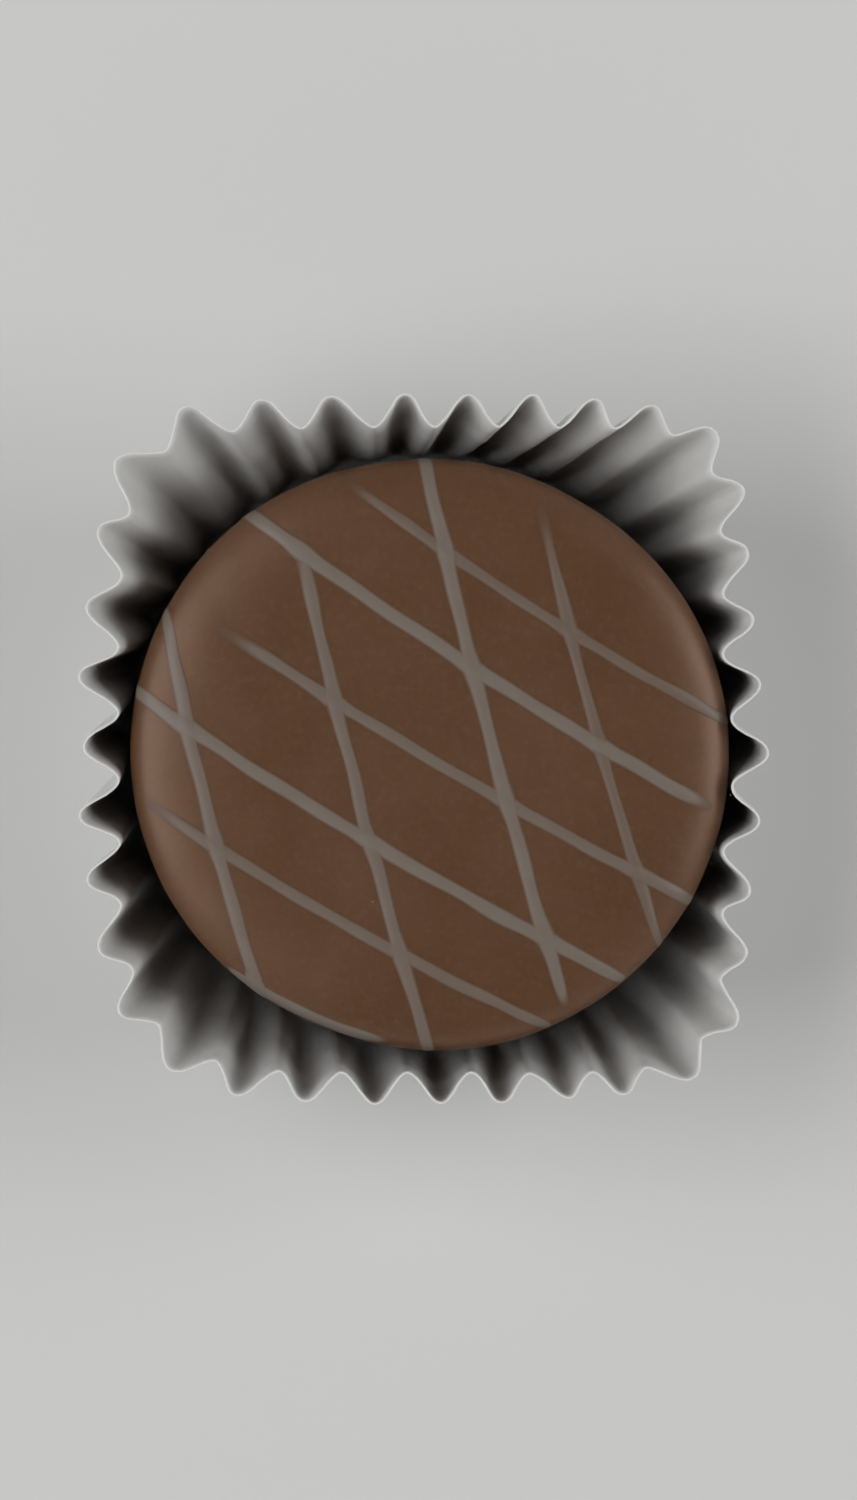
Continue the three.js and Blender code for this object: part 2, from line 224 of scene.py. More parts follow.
def coat_unevenness(points):
    """How far the coat stands out or in: long soft swells, and fainter short ones."""
    foot = smooth_step(points[..., 2], resting_height + 0.3 * MM, resting_height + 2 * MM)
    swells = 0.035 * MM * rolling(points, 9 * MM, 3) + 0.010 * MM * rolling(points, 3 * MM, 4)
    return foot * swells


# %% The body as a grid
def body_section():
    """Half the body's section from the underside's middle to the top's: (radius, height) along a
    flat base, a quarter-round foot, a side that leans out slightly, the shoulder and the crown."""
    base = np.linspace(0.15, 1, 8)[:-1] * (body_radius - foot_inset - foot_rounding)
    turn = np.linspace(0, 90, 9) * DEGREE
    foot_radius = body_radius - foot_inset - foot_rounding * (1 - np.sin(turn))
    foot_height = foot_rounding * (1 - np.cos(turn))
    rise = np.linspace(0, 1, 19)[1:-1]
    side_radius = body_radius - foot_inset * (1 - rise)
    side_height = foot_rounding + (widest_height - foot_rounding) * rise
    over = np.linspace(0, 80, 44) * DEGREE
    shoulder = np.cos(over) ** (2 / crown_flatness)
    crown = np.linspace(shoulder[-1], 0, 42)[1:-1]
    upper = np.concatenate([shoulder, crown])
    radius = np.concatenate([base, foot_radius, side_radius, upper * body_radius])
    upper_height = crown_height(upper) - resting_height
    height = np.concatenate([0 * base, foot_height, side_height, upper_height])
    return radius, height + resting_height


def surface_normals(grid):
    """The way out at each grid point: across the ring, crossed with the way to the next ring."""
    around = np.roll(grid, -1, axis=1) - np.roll(grid, 1, axis=1)
    onward = np.gradient(grid, axis=0)
    return unit(np.cross(around, onward))


body_columns = 400
angles = np.arange(body_columns) / body_columns * TURN
radii, heights = body_section()
pressed_radii = radii[:, None] * body_outline(angles) / body_radius
body_grid = np.stack([
    pressed_radii * np.cos(angles),
    pressed_radii * np.sin(angles),
    np.broadcast_to(heights[:, None], pressed_radii.shape),
], axis=-1)
body_grid = body_grid + coat_unevenness(body_grid)[..., None] * surface_normals(body_grid)
top_middle = [0, 0, float(body_grid[-1, :, 2].mean())]
body = closed_piece("chocolate_body", [(body_grid, [0, 0, resting_height], top_middle)])
print("body top at", round(top_middle[2] / MM, 2), "mm")

# %% [markdown]
# ## The drizzled threads
#
# A fork or a nozzle moved to and fro over the chocolate, first along one slant, then along a
# steeper one. Each thread set as a low ridge: widest where it was laid slowly, thin at the
# ends, and hanging a little way down the side. Bevelled curves would float over the shoulder, so
# each ridge is a profile carried along its path with every point dropped onto the body.

# %% The threads' sizes
shallow_height = 0.05 * MM
steep_height = 0.04 * MM
shallow_bow = 0.5 * MM
steep_bow = 0.35 * MM
bare_width = 0.38
covering_width = 0.80


def thread(heading, offset, width, short_start, short_end, fade_start, fade_end, height, bow):
    """One thread as seen from above. The heading is the way it was laid, the offset how far it
    passes from the middle. Then come how far inside the body's edge it starts and ends, and over
    what length it thins out at either end. A narrow thread was laid fast and covers less: it would
    cover nothing at the bare width, and it covers all it can from the covering width up."""
    turned = heading * DEGREE
    half_chord = np.sqrt(body_radius**2 - (offset * MM) ** 2)
    return SimpleNamespace(
        along=np.array([np.cos(turned), np.sin(turned)]),
        aside=np.array([-np.sin(turned), np.cos(turned)]),
        offset=offset * MM,
        half_width=0.5 * width * MM,
        half_chord=half_chord,
        start=-half_chord + short_start * MM,
        end=half_chord - short_end * MM,
        height=height,
        cover=np.clip((width - bare_width) / (covering_width - bare_width), 0, 1),
        fades=(fade_start * MM, fade_end * MM),
        bow=bow,
        seed=int(100 + 7 * abs(heading) + 10 * (offset + 20)),
    )


shallow_threads = [thread(*sizes, shallow_height, shallow_bow) for sizes in [
    (-32.5, 9.1, 0.63, 0.8, -0.6, 4.0, 0.5),
    (-32.5, 5.0, 0.82, -1.1, 0.6, 0.5, 2.2),
    (-30.5, 0.0, 0.70, 2.6, -1.2, 4.4, 0.5),
    (-30.5, -5.1, 0.80, -1.3, -0.2, 0.5, 0.5),
    (-29.5, -9.3, 0.68, 0.6, -0.4, 4.2, 0.5),
    (-25.5, -14.2, 0.90, 0.0, 0.0, 1.0, 1.6),
]]
steep_threads = [thread(*sizes, steep_height, steep_bow) for sizes in [
    (-76.0, -11.3, 0.75, -0.9, 0.0, 0.5, 0.5),
    (-76.0, -3.8, 0.72, 2.0, -1.2, 3.6, 0.5),
    (-75.5, 3.3, 0.79, -1.2, 0.4, 0.5, 1.6),
    (-75.0, 8.5, 0.62, 1.6, -0.8, 4.4, 0.5),
]]
print("threads:", len(shallow_threads), "shallow and", len(steep_threads), "steep")

# %% Where a thread runs
def thread_middle(line, run):
    """How far to its side the middle of a thread lies at each distance along it: its offset, less
    a shallow parabola, and a hand's small wander."""
    bend = line.bow * (1 / 3 - (run / line.half_chord) ** 2)
    wander = 0.03 * MM * rolling(run[..., None], 5 * MM, line.seed)
    return line.offset - bend + wander


def thread_plan(line, run):
    """The middle of a thread in the plan, at each distance along it."""
    middle = thread_middle(line, run)
    return run[..., None] * line.along + middle[..., None] * line.aside


past_end = 0.3 * MM
before_end = 0.7 * MM


def beside_thread(line, plan):
    """For points of the plan: the distance along a thread, the distance to its side, and 1 within
    its ends, fading to 0 just past them."""
    run = plan @ line.along
    aside = plan @ line.aside - thread_middle(line, run)
    there = smooth_step(run, line.start - past_end, line.start + before_end)
    there = there * smooth_step(-run, -line.end - past_end, -line.end + before_end)
    return run, aside, there


def thread_variation(line, run):
    """How much thicker or thinner than usual a thread is at each distance along it."""
    return 1 + 0.07 * rolling(run[..., None], 4.5 * MM, line.seed + 1)


# %% A thread's section
edge_softness = 1.4
full_cover_share = 0.55


def rounded(across):
    """A thread's section: 0 at either edge, where it runs out level, and 1 in the middle."""
    return np.clip(1 - across**2, 0, 1) ** edge_softness


def height_at(line, plan):
    """Height of a thread over any points of the plan, 0 beside it."""
    run, aside, there = beside_thread(line, plan)
    size = thread_variation(line, run)
    return there * line.height * size * rounded(np.clip(aside / (line.half_width * size), -1, 1))


def cover_of(line, share):
    """How well a thread hides the dark body where it has a share of its full height: hardly at
    its edges, and as well as it can from about half its height up."""
    return line.cover * smooth_step(share, 0, full_cover_share)


print("section at a quarter, half and three quarters:", rounded(np.array([-0.5, 0, 0.5])).round(2))

# %% One thread as a ridge
step_along = 0.11 * MM
taper_length = 2.2 * MM
tip_share = 0.6
tip_rounding = 0.32 * MM
hang_share = 0.55
root_depth = 0.1 * MM
web_reach = 0.5 * MM
web_widening = 0.32
across_count = 15
sunk_share = 0.35
root_share = 0.8


def even_runs(line):
    """Distances along a thread that part it, as it lies on the body, into equal steps."""
    run = np.linspace(line.start, line.end, 3000)
    steps = np.linalg.norm(np.diff(plan_to_body(thread_plan(line, run)), axis=0), axis=-1)
    length = np.concatenate([[0], np.cumsum(steps)])
    wanted = np.linspace(0, length[-1], int(length[-1] / step_along) + 1)
    return np.interp(wanted, length, run), wanted


def coated_point(plan, height):
    """A point over the body at a height above its uneven coat."""
    base, out = plan_to_body(plan), way_out(plan)
    return base + out * (coat_unevenness(base) + height)[..., None]


def ridge(line, crossing, beneath):
    """A thread's shell and how well it hides the body. The section's edges stand on the coat, or
    on the threads beneath, and its root is sunk in the body. Near each crossing it widens into
    webs, and over a thread beneath it climbs by most of that thread's height."""
    run, length = even_runs(line)
    plan, out = thread_plan(line, run), way_out(thread_plan(line, run))
    forward = unit(np.gradient(plan_to_body(plan), axis=0))
    right = unit(np.cross(forward, out))
    to_tip = np.minimum(length, length[-1] - length)
    thinned = np.sin(np.minimum(to_tip / taper_length, 1) * 90 * DEGREE)
    full = (tip_share + (1 - tip_share) * thinned) * thread_variation(line, run)
    round_tip = np.sqrt(1 - (1 - np.minimum(to_tip / tip_rounding, 1)) ** 2)
    webs = np.zeros_like(run)
    for other in crossing:
        _, aside, there = beside_thread(other, plan)
        webs = np.maximum(webs, there * np.exp(-((aside / web_reach) ** 2)))
    half = line.half_width * full * round_tip * (1 + web_widening * webs)
    lying = hang_share + (1 - hang_share) * np.maximum(out[:, 2], 0)
    first_fade, last_fade = line.fades
    thin = smooth_step(length, 0, first_fade) * smooth_step(length[-1] - length, 0, last_fade)
    crest = line.height * full * round_tip * lying * thin

    across = np.sin(np.linspace(-90, 90, across_count) * DEGREE)
    top_plan = plan[:, None] + (across * half[:, None])[..., None] * right[:, None, :2]
    section = rounded(across)
    height = crest[:, None] * section
    cover = cover_of(line, thin[:, None] * section)
    for other in beneath:
        under = height_at(other, top_plan)
        height = height + under * (1 - sunk_share * section)
        cover = np.maximum(cover, cover_of(other, under / other.height))
    root = root_share * np.array([1, 0, -1])
    root_plan = plan[:, None] + (root * half[:, None])[..., None] * right[:, None, :2]
    grid = np.concatenate([
        coated_point(top_plan, height),
        coated_point(root_plan, np.full(root_plan.shape[:2], -root_depth)),
    ], axis=1)
    stored = np.concatenate([cover, np.zeros(root_plan.shape[:2])], axis=1)
    return (grid, grid[0].mean(axis=0), grid[-1].mean(axis=0)), stored


# %% All the threads as one piece
ridges = [ridge(line, steep_threads, []) for line in shallow_threads]
ridges += [ridge(line, shallow_threads, shallow_threads) for line in steep_threads]
drizzle = closed_piece("drizzle", [shell for shell, _ in ridges])
covers = [np.concatenate([stored.ravel(), [0, 0]]) for _, stored in ridges]
keep_on_points(drizzle, "cover", "FLOAT", np.concatenate(covers))

# %% [markdown]
# ## The paper case
#
# The real case is a disc of thin greaseproof paper, pressed in a fluted mould and later squeezed
# square. The paper cannot stretch. Further out the flat disc is wider than the wall has room for,
# and the spare width becomes the flutes: that gives their depth at every height. Cloth simulation
# could crumple it, but this rule already yields even, sharp pleats.

# %% The pleats' own unevenness
flute_count = 36
fold_half_width = 0.1


def seeded_draws(seed, count):
    """Repeatable numbers from 0 to 1 (the mulberry32 generator), the ones the solid case used."""
    state, draws = seed, []
    for _ in range(count):
        state = (state + 0x6D2B79F5) % 2**32
        mixed = (state ^ (state >> 15)) * (state | 1) % 2**32
        mixed ^= (mixed + (mixed ^ (mixed >> 7)) * (mixed | 61)) % 2**32
        draws.append((mixed ^ (mixed >> 14)) / 2**32)
    return np.array(draws)


most_shift, most_deepening, most_lift = 0.05, 0.08, 0.14 * MM
pleat_draws = 2 * seeded_draws(11, 3 * flute_count).reshape(flute_count, 3) - 1
pleat_shift, pleat_depth, pleat_lift = (pleat_draws * [most_shift, most_deepening, most_lift]).T
print(flute_count, "pleats, the first three shifted by", pleat_shift[:3].round(3), "of a flute")


def along_pleats(values, place):
    """A value of each flute, held from just before its outer fold to just past its inner fold,
    and blended evenly over the flank that leads to the next flute."""
    flute = np.arange(flute_count)
    knots = np.stack([flute - fold_half_width, flute + 0.5 + fold_half_width], axis=-1)
    return np.interp(place, knots.ravel(), np.repeat(values, 2), period=flute_count)


# %% The rim's outline
rim_half_width = 15.15 * MM
rim_half_depth = 16.2 * MM
rim_shift = np.array([-0.36, 0.16]) * MM


def towards(angle):
    """A step of length 1 in one direction of the plan."""
    return np.stack([np.cos(angle), np.sin(angle)], axis=-1)


def rim_point(angle):
    """The rim through its inner folds: a superellipse, so a rounded square. Its power is 2 for an
    ellipse and more for a squarer shape, and it is highest at 20 degrees."""
    power = 7 + 2.7 * np.cos(angle - 20 * DEGREE)
    wide = np.abs(np.cos(angle) / rim_half_width) ** power
    deep = np.abs(np.sin(angle) / rim_half_depth) ** power
    return ((wide + deep) ** (-1 / power))[..., None] * towards(angle)


def rim_direction(share):
    """The direction at a share of the rim's length, so that every flute gets as much of it."""
    angle = np.linspace(0, TURN, 1441)
    steps = np.linalg.norm(np.diff(rim_point(angle), axis=0), axis=-1)
    length = np.concatenate([[0], np.cumsum(steps)])
    whole = np.floor(share)
    return np.interp(share - whole, length / length[-1], angle) + whole * TURN


def standing_out(angle):
    """The way a flute stands out: halfway between straight outwards and square to the rim."""
    nudge = 0.5 * DEGREE
    onward = unit(rim_point(angle + nudge) - rim_point(angle - nudge))
    square = np.stack([onward[..., 1], -onward[..., 0]], axis=-1)
    return unit(square + towards(angle))


corner = rim_point(np.array(45 * DEGREE))
print("rim corner at", round(float(np.linalg.norm(corner)) / MM, 2), "mm from the rim's middle")

# %% The wall's middle surface
base_radius = 14.85 * MM
wall_length = 14 * MM
paper_thickness = 0.11 * MM
half_paper = paper_thickness / 2
rim_flute_width = 3.2 * MM
wall_clearance = 0.2 * MM
depth_kept = 0.875
corner_flattening = 0.2
turned_back = 0.09
most_travel = 0.9


def flute_depth(slant):
    """Depth of the flutes from fold to fold, at a distance up the paper: the height of a zigzag
    whose flanks take up the flat disc's width there and whose folds are as far apart as the wall
    allows, less what the rounded folds lose."""
    flat_width = TURN * (base_radius + slant) / flute_count
    base_width = TURN * base_radius / flute_count
    wall_width = base_width + (rim_flute_width - base_width) * slant / wall_length
    return depth_kept * np.sqrt(np.maximum(flat_width**2 - wall_width**2, 0)) / 2


def fold_profile(place, direction):
    """How far out a flute stands, from 1 at its outer fold to -1 at its inner one: a cosine c,
    made squarer or sharper by r (c - c^3). The roundness r is high at the outer folds, and at the
    inner ones it is low at the front and back and higher at the two sides."""
    wave = np.cos(place * TURN)
    outer = 0.16 + 0.04 * bump(direction, 90 * DEGREE, 45 * DEGREE)
    inner = -0.10 + 0.20 * np.cos(direction) ** 4
    roundness = 0.5 * (outer + inner) + 0.5 * (outer - inner) * wave
    return wave + roundness * (wave - wave**3)


def bunched(place):
    """Places of the pleats after they were pushed together: three waves round the rim push them
    forward by some share of a flute, most in one direction each, and all are turned back."""
    round_it = place / flute_count * TURN
    waves = [(1, 0.23, -101), (2, 0.13, 31), (3, 0.10, 105)]
    pushes = [share * np.cos(count * round_it - most * DEGREE) for count, share, most in waves]
    return place + sum(pushes) - turned_back


def lean(direction):
    """How much further round than at the rim the pleats start at the bottom."""
    spots = [(3, 2, 32), (9, 64, 24), (-5, 182, 34), (-4.5, 243, 26)]
    return sum(most * bump(direction, middle * DEGREE, spread * DEGREE)
               for most, middle, spread in spots) * DEGREE


def kept_clear(spot, height, gap):
    """Plan points moved straight outwards until they are clear of the chocolate's side by a gap.
    The side is taken without its coat's unevenness, which uses up a little of the gap."""
    reach = np.linalg.norm(spot, axis=-1)
    least = body_side(np.arctan2(spot[..., 1], spot[..., 0]), height) + gap
    return spot * (np.maximum(reach, least) / np.maximum(reach, MM))[..., None]


def wall(place, slant):
    """Points of the wall. place counts flutes round it and slant is the distance up the paper.
    Each point starts on the base circle, travels out to the rim's outline but round the chocolate,
    stands out by its share of the flute's depth, and rises by what the travel leaves of the
    paper's length. The wall starts upright and flares, more so at the back than at the front."""
    rising = np.clip(slant / wall_length, 0, None)
    direction = rim_direction(bunched(place + along_pleats(pleat_shift, place)) / flute_count)
    base = base_radius * towards(direction + lean(direction))
    rim = rim_point(direction) + rim_shift
    travel = np.minimum(np.linalg.norm(rim - base, axis=-1) / wall_length, most_travel)
    corner = np.sin(2 * direction) ** 2 * rising
    squeezed = 1 + 0.1 * np.cos(direction - 150 * DEGREE) + 0.05 * np.cos(2 * direction)
    depth = flute_depth(slant) * squeezed * (1 + along_pleats(pleat_depth, place))
    out = 0.5 * depth * (1 - corner_flattening * corner) * (1 + fold_profile(place, direction))
    flare = 1.5 + 0.5 * np.cos(direction - 110 * DEGREE)
    spot = kept_clear(base + (rim - base) * (rising**flare)[..., None], slant, wall_clearance)
    spot = spot + out[..., None] * standing_out(direction)
    height = slant * np.sqrt(1 - travel**2) + along_pleats(pleat_lift, place) * rising
    return np.concatenate([spot, height[..., None] + half_paper], axis=-1)


print("flutes at the rim are", round(float(flute_depth(wall_length)) / MM, 2), "mm deep")

# %% The sheet as a grid
samples_across_flute = 22
fold_crowding = 0.72
row_crowding = 1.1
bottom_shares = np.array([0.3, 0.6, 0.8, 0.88, 0.92, 0.95, 0.975, 0.99])
wall_rows = 42
cut_trim = 0.18 * MM
nick_count = 22
nick_width = 0.05


def flute_places():
    """Where the grid's columns stand, in flutes: closer together at the folds than between."""
    step = np.arange(flute_count * samples_across_flute) / samples_across_flute
    return step - fold_crowding * np.sin(2 * TURN * step) / (2 * TURN)


def cut_edge(place):
    """How far the cut edge is from the sheet's nominal one: a trim, a fine waver, and a few nicks
    and burrs the cutter left."""
    round_it = towards(place / flute_count * TURN)
    waver = 0.02 * MM * rolling(round_it * 18 * MM, 0.7 * MM, 21)
    draw = np.random.default_rng(22)
    spots = draw.uniform(0, flute_count, nick_count)
    sizes = draw.uniform(-0.14, 0.10, nick_count) * MM
    nicks = np.exp(-(((place[:, None] - spots) / nick_width) ** 2)) @ sizes
    return waver + nicks - cut_trim


places = flute_places()
row_shares = np.linspace(0, 1, wall_rows)[:, None] ** row_crowding
slants = row_shares * (wall_length + cut_edge(places))
wall_grid = wall(places, slants)
fold_line = wall_grid[0]
bottom_grid = fold_line * np.array([1, 1, 0]) * bottom_shares[:, None, None]
crimp = 0.05 * MM * (1 + np.cos(places * TURN)) * smooth_step(bottom_shares, 0.86, 1)[:, None]
bottom_grid[..., 2] = half_paper + crimp
sheet = np.concatenate([bottom_grid, wall_grid])
sheet_slant = np.concatenate([(bottom_shares[:, None] - 1) * base_radius + 0 * places, slants])
print("paper sheet:", sheet.shape[0], "rows of", sheet.shape[1])

# %% [markdown]
# Pressed paper keeps a few faults: flutes that lean, flanks that ripple, a base fold that is round
# rather than sharp. They are added to the middle surface, and the paper is then moved out
# wherever it would touch the chocolate, just as the real sheet gives way.

# %% Softened fold, ripples and room for the chocolate
def soften_fold(grid, row, reach, times):
    """Rounds a fold that runs along a row: each point near it moves to the mean of its two
    neighbours and itself, a few times over."""
    for _ in range(times):
        part = grid[row - reach : row + reach + 1]
        grid[row - reach + 1 : row + reach] = (part[:-2] + 2 * part[1:-1] + part[2:]) / 4
    return grid


sheet = soften_fold(sheet, row=len(bottom_shares), reach=3, times=3)
sheet[..., 2] = np.maximum(sheet[..., 2], half_paper)
risen = np.clip(sheet_slant / wall_length, 0, None)[..., None]
leaning = np.stack([rolling(sheet, 7 * MM, seed) for seed in (31, 32, 33)], axis=-1)
sheet = sheet + 0.04 * MM * risen**1.5 * leaning * [1, 1, 0.4]
ripples = 0.02 * MM * rolling(sheet, 2.2 * MM, 34) + 0.008 * MM * rolling(sheet, 0.8 * MM, 35)
sheet = sheet + surface_normals(sheet) * (ripples[..., None] * smooth_step(risen, 0.02, 0.2))

least_gap = half_paper + 0.1 * MM
clear_plan = kept_clear(sheet[..., :2], sheet[..., 2], least_gap)
moved_out = np.where(sheet_slant[..., None] > 0, clear_plan - sheet[..., :2], 0)
sheet[..., :2] += moved_out
print("paper moved out by up to", round(float(np.abs(moved_out).max() / MM), 3), "mm")

# %% The case with its thickness
outwards = surface_normals(sheet)
outwards[0] = [0, 0, -1]
up_the_paper = unit(sheet[-1] - sheet[-2])
edge_turns = np.array([45, 90, 135])[:, None, None] * DEGREE
edge_ways = np.cos(edge_turns) * outwards[-1] + np.sin(edge_turns) * up_the_paper
cut = sheet[-1] + half_paper * edge_ways
outer_side = sheet + half_paper * outwards
inner_side = sheet - half_paper * outwards
outer_side[..., 2] = np.maximum(outer_side[..., 2], 0)
case_grid = np.concatenate([outer_side, cut, inner_side[::-1]])
case = closed_piece("paper_cup", [(case_grid, [0, 0, 0], [0, 0, paper_thickness])])

# %% [markdown]
# The finish of the paper follows the flat sheet: its fibres and press marks were there before the
# case had its shape. Each point therefore keeps its place on the flat disc.

# %% Each point's place on the flat sheet
flat_radius = base_radius + sheet_slant
flat_angle = places / flute_count * TURN
flat = np.stack([flat_radius * np.cos(flat_angle), flat_radius * np.sin(flat_angle)], axis=-1)
flat = np.concatenate([flat, np.repeat(flat[-1:], len(cut), axis=0), flat[::-1]])
flat = np.concatenate([flat, np.zeros((*flat.shape[:2], 1))], axis=-1)
keep_on_points(case, "flat_sheet", "FLOAT_VECTOR", np.append(flat, np.zeros(6)))

# %% [markdown]
# ## Finishes
#
# A finish is a small network of nodes. Written out node by node it is long and hard to read, so
# one class wraps a socket and lets values be added and multiplied as in ordinary sums, and one
# method adds any other node.

# %% Writing finishes as sums
class Value:
    """A socket that takes part in sums. Each operator adds one Math node."""

    def __init__(self, finish, socket):
        self.finish = finish
        self.socket = socket

    def maths(self, operation, first, second):
        return self.finish.add("Math", {"operation": operation}, {0: first, 1: second})

    def __add__(self, other):
        return self.maths("ADD", self, other)

    def __rsub__(self, other):
        return self.maths("SUBTRACT", other, self)

    def __mul__(self, other):
        return self.maths("MULTIPLY", self, other)

    __radd__ = __add__
    __rmul__ = __mul__


class Finish:
    """The nodes of one material, or of the sky, under construction."""

    def __init__(self, owner):
        self.owner = owner
        owner.use_nodes = True
        self.tree = owner.node_tree
        self.tree.nodes.clear()

    def add(self, kind, settings=None, sockets=None, out=0):
        """Adds a node: its settings first, then the values or links of its sockets."""
        node = self.tree.nodes.new("ShaderNode" + kind)
        for name, setting in (settings or {}).items():
            setattr(node, name, setting)
        for name, given in (sockets or {}).items():
            if isinstance(given, Value):
                self.tree.links.new(given.socket, node.inputs[name])
            else:
                node.inputs[name].default_value = given
        return Value(self, node.outputs[out])

    def noise(self, place, size, detail=2.0, roughness=0.5):
        """Cloudy noise from 0 to 1 whose blotches are about that size, in the unit of place."""
        sockets = {"Vector": place, "Scale": 1 / size, "Detail": detail, "Roughness": roughness}
        return self.add("TexNoise", None, sockets, "Fac")

    def ramp(self, value, low, high):
        """0 below low, 1 above high, smooth between."""
        sockets = {"Value": value, "From Min": low, "From Max": high}
        return self.add("MapRange", {"interpolation_type": "SMOOTHSTEP"}, sockets, "Result")

    def mix(self, share, first, second):
        """A colour between two colours."""
        return self.add("Mix", {"data_type": "RGBA"}, {0: share, 6: first, 7: second}, 2)

    def relief(self, height):
        """A bent normal from a height in metres."""
        sockets = {"Height": height, "Distance": 1.0, "Strength": 1.0}
        return self.add("Bump", None, sockets, "Normal")

    def close(self, sockets):
        """Ends a material in a Principled surface with these sockets."""
        surface = self.add("BsdfPrincipled", None, sockets, "BSDF")
        ending = self.tree.nodes.new("ShaderNodeOutputMaterial")
        self.tree.links.new(surface.socket, ending.inputs["Surface"])
        return self.owner


def new_finish(name):
    """An empty finish on a new material."""
    return Finish(bpy.data.materials.new(name))


# %% [markdown]
# ## Milk chocolate
#
# Set milk chocolate is satin, not glossy: cocoa butter gives a soft wide shine that takes on some
# of the brown, and the brown itself is never quite even. Dull and shiny patches come from a slow
# noise on the roughness, and the fine orange-peel skin from relief a few thousandths of a
# millimetre high. A few pale specks lie in it.

# %% Milk chocolate
def milk_chocolate():
    """Brown that drifts between two shades, with a fine paler grain and a few pale specks."""
    finish = new_finish("milk_chocolate")
    place = finish.add("TexCoord", out="Object")
    patches = finish.noise(place, 6 * MM, 3)
    grain = finish.noise(place, 0.35 * MM, 3, 0.6)
    shade = finish.ramp(patches, 0.3, 0.7)
    colour = finish.mix(shade, (0.0865, 0.0367, 0.0140, 1), (0.0965, 0.0434, 0.0183, 1))
    colour = finish.mix(finish.ramp(grain, 0.45, 0.75) * 0.25, colour, (0.14, 0.080, 0.048, 1))
    speck_spacing = 3.4 * MM
    cells = {"Vector": place, "Scale": 1 / speck_spacing, "Randomness": 1.0}
    nearest = finish.add("TexVoronoi", {"feature": "F1"}, cells, "Distance")
    specks = 1 - finish.ramp(nearest, 0.012, 0.028)
    colour = finish.mix(specks * 0.5, colour, (0.22, 0.16, 0.11, 1))
    roughness = 0.34 + 0.10 * patches + 0.06 * grain
    swell = finish.noise(place, 1.1 * MM, 2) * (0.010 * MM)
    skin = finish.noise(place, 0.16 * MM, 2) * (0.0022 * MM)
    normal = finish.relief(swell + skin + specks * (0.015 * MM))
    return finish.close({
        "Base Color": colour, "Roughness": roughness, "Normal": normal,
        "Subsurface Weight": 0.5, "Subsurface Radius": (0.9 * MM, 0.5 * MM, 0.3 * MM),
        "Subsurface Scale": 1.0, "Specular IOR Level": 0.65, "Specular Tint": (1, 0.74, 0.6, 1),
    })


chocolate = milk_chocolate()
body.data.materials.append(chocolate)
print("finish:", chocolate.name, len(chocolate.node_tree.nodes), "nodes")

# %% [markdown]
# ## The pale threads
#
# The drizzle is a thin layer of paler chocolate. Where it is thin, at its edges and ends, the dark
# body shows through. How well each point hides the body was kept with it and drives the colour.

# %% Pale drizzle
def pale_drizzle():
    """From the body's brown to pale grey-brown, by how well the thread covers the body there."""
    finish = new_finish("cream_drizzle")
    place = finish.add("TexCoord", out="Object")
    cover = finish.add("Attribute", {"attribute_name": "cover"}, out="Fac")
    streaks = finish.noise(place, 1.6 * MM, 3)
    covered = cover * (0.85 + 0.3 * streaks)
    colour = finish.mix(covered, (0.087, 0.0370, 0.0145, 1), (0.146, 0.117, 0.094, 1))
    grain = finish.noise(place, 0.22 * MM, 2)
    normal = finish.relief(grain * (0.004 * MM) + streaks * (0.02 * MM))
    roughness = 0.42 + 0.12 * streaks
    return finish.close({"Base Color": colour, "Roughness": roughness, "Normal": normal})


cream = pale_drizzle()
drizzle.data.materials.append(cream)
print("finish:", cream.name, len(cream.node_tree.nodes), "nodes")

# %% [markdown]
# ## The paper
#
# Greaseproof paper is dense and slightly shiny where the press polished it. Cloudy formation shows
# in its tone, fine fibres in its relief, and press marks run up the flutes. Along the cut edge the
# fibres are torn open and look whiter. The whitened band is also widened into a painted highlight
# where light reaches the top of the wall.

# %% White greaseproof paper
def greaseproof_paper():
    """A cloudy off-white, whiter and duller along the torn edge, where a painted highlight widens
    the whitening.
    """
    finish = new_finish("case_paper")
    flat_place = finish.add("Attribute", {"attribute_name": "flat_sheet"}, out="Vector")
    radius = finish.add("VectorMath", {"operation": "LENGTH"}, {0: flat_place}, "Value")
    heading = finish.add("VectorMath", {"operation": "NORMALIZE"}, {0: flat_place}, "Vector")
    formation = finish.noise(flat_place, 1.8 * MM, 4, 0.6)
    stretched = {"Vector": flat_place, "Scale": (1, 3.2, 1)}
    fibre_place = finish.add("Mapping", None, stretched, "Vector")
    fibres = finish.noise(fibre_place, 0.30 * MM, 3, 0.6)
    marks = finish.noise(heading, 0.012, 2)
    edge_radius = base_radius + wall_length
    # Torn fibres whiten the cut edge. The band's 0.7 mm width is also a painted highlight of the
    # lit rim.
    torn_edge_and_painted_highlight = finish.ramp(radius, edge_radius - 0.7 * MM, edge_radius)
    colour = finish.mix(formation, (0.50, 0.50, 0.488, 1), (0.58, 0.58, 0.568, 1))
    colour = finish.mix(torn_edge_and_painted_highlight * 0.8, colour, (0.65, 0.65, 0.64, 1))
    roughness = 0.52 + 0.16 * fibres + 0.12 * torn_edge_and_painted_highlight
    normal = finish.relief(fibres * (0.006 * MM) + formation * (0.012 * MM) + marks * (0.02 * MM))
    return finish.close({
        "Base Color": colour, "Roughness": roughness, "Normal": normal,
        "Subsurface Weight": 1.0, "Subsurface Radius": (0.1 * MM, 0.1 * MM, 0.1 * MM),
        "Subsurface Scale": 1.0,
    })


paper = greaseproof_paper()
case.data.materials.append(paper)
print("finish:", paper.name, len(paper.node_tree.nodes), "nodes")

# %% [markdown]
# ## What each piece stands for
#
# Each new piece rides on the object's one body and takes the place of its solid.

# %% Tie the pieces to their solids
for piece, node, slot in [
    (body, "truffle", "milk_chocolate"),
    (drizzle, "truffle", "cream_drizzle"),
    (case, "paper_case", "case_paper"),
]:
    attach(piece, "root")
    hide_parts(node)
    print(piece.name, "stands for", node)

